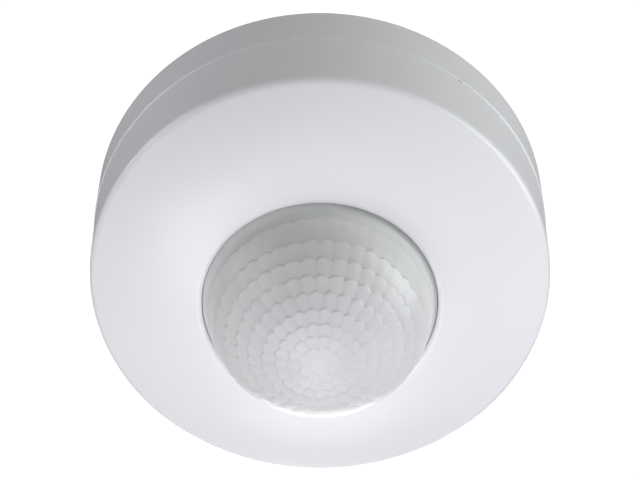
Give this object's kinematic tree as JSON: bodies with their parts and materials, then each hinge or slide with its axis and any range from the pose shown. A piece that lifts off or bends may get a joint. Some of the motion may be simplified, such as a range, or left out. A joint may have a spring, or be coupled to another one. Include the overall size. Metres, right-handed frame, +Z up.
{
  "type": "motion sensor",
  "caption": "Round surface-mounted ceiling motion sensor: drafted housing with a removable cover, large domed facet lens, terminal block, two boards and setting knobs.",
  "frame": {"origin": "centre of the flat back face that lies on the ceiling", "axes": "+Z up into the ceiling, the lens points towards -Z; +Y from the centre towards the cable entry; the two ceiling screws lie along X"},
  "size_m": [0.11, 0.11, 0.0665],
  "materials": {
    "white_plastic": "satin",
    "light_grey_plastic": "satin",
    "grey_plastic": "matte",
    "black_plastic": "matte",
    "orange_plastic": "satin",
    "blue_plastic": "satin",
    "yellow_plastic": "satin",
    "brown_plastic": "matte",
    "knob_plastic": "satin",
    "sleeve_plastic": "glossy sleeve",
    "blue_lacquer": "lacquered",
    "ferrite": "matte",
    "board": "solder mask",
    "foam": "matte",
    "black_rubber": "matte",
    "contact_brass": "tinned edges",
    "zinc_steel": "zinc plated",
    "spring_steel": "polished strip",
    "nickel": "nickel plated",
    "silicon": "coated filter",
    "clear_resin": "clear",
    "red_resin": "tinted",
    "lens_plastic": "translucent, milky"
  },
  "bodies": {
    "base": {"base_plate": "white_plastic", "ceiling_gasket": "foam", "cable_grommet": "black_rubber", "terminal_housing": "grey_plastic", "terminal_clamps": "contact_brass", "chassis": "light_grey_plastic", "chassis_screws": "zinc_steel", "power_board": "board", "board_screws": "zinc_steel", "plug_pins": "contact_brass", "relay": "black_plastic", "film_capacitor": "yellow_plastic", "electrolytic_capacitors": "sleeve_plastic", "varistor": "blue_lacquer", "fuse": "brown_plastic", "rectifier": "black_plastic", "choke": "ferrite", "board_link": "black_plastic", "sensor_board": "board", "microcontroller": "black_plastic", "trimmer_bodies": "blue_plastic", "pyro_holder": "black_plastic", "pyro_cans": "nickel", "pyro_windows": "silicon", "light_sensor": "clear_resin", "status_led": "red_resin", "lens_mount": "light_grey_plastic", "lens_mount_screws": "zinc_steel", "lens_seal": "black_rubber", "lens": "lens_plastic", "lens_clamp_ring": "light_grey_plastic", "cover_clips": "spring_steel"},
    "terminal_pusher_1": {"terminal_pusher_1": "orange_plastic"},
    "terminal_pusher_2": {"terminal_pusher_2": "orange_plastic"},
    "terminal_pusher_3": {"terminal_pusher_3": "orange_plastic"},
    "terminal_pusher_4": {"terminal_pusher_4": "orange_plastic"},
    "time_knob": {"time_knob": "knob_plastic"},
    "light_knob": {"light_knob": "knob_plastic"},
    "range_knob": {"range_knob": "knob_plastic"},
    "cover": {"cover": "white_plastic"}
  },
  "joints": [
    {"name": "cover_slide", "type": "slide", "parent": "base", "child": "cover", "axis": [0, 0, -1], "range_m": [0, 0.06], "deforming": ["cover_clips"]},
    {"name": "terminal_pusher_1_press", "type": "slide", "parent": "base", "child": "terminal_pusher_1", "axis": [0, 0, 1], "range_m": [0, 0.0012], "stiffness_N_per_m": 400, "springref_m": -0.0005},
    {"name": "terminal_pusher_2_press", "type": "slide", "parent": "base", "child": "terminal_pusher_2", "axis": [0, 0, 1], "range_m": [0, 0.0012], "stiffness_N_per_m": 400, "springref_m": -0.0005},
    {"name": "terminal_pusher_3_press", "type": "slide", "parent": "base", "child": "terminal_pusher_3", "axis": [0, 0, 1], "range_m": [0, 0.0012], "stiffness_N_per_m": 400, "springref_m": -0.0005},
    {"name": "terminal_pusher_4_press", "type": "slide", "parent": "base", "child": "terminal_pusher_4", "axis": [0, 0, 1], "range_m": [0, 0.0012], "stiffness_N_per_m": 400, "springref_m": -0.0005},
    {"name": "time_knob_turn", "type": "hinge", "parent": "base", "child": "time_knob", "pos_m": [-0.0317, 0.0183, -0.034], "axis": [0, 0, -1], "range_deg": [-135, 135]},
    {"name": "light_knob_turn", "type": "hinge", "parent": "base", "child": "light_knob", "pos_m": [-0.03604, 0.00636, -0.034], "axis": [0, 0, -1], "range_deg": [-135, 135]},
    {"name": "range_knob_turn", "type": "hinge", "parent": "base", "child": "range_knob", "pos_m": [-0.03604, -0.00636, -0.034], "axis": [0, 0, -1], "range_deg": [-135, 135]}
  ]
}
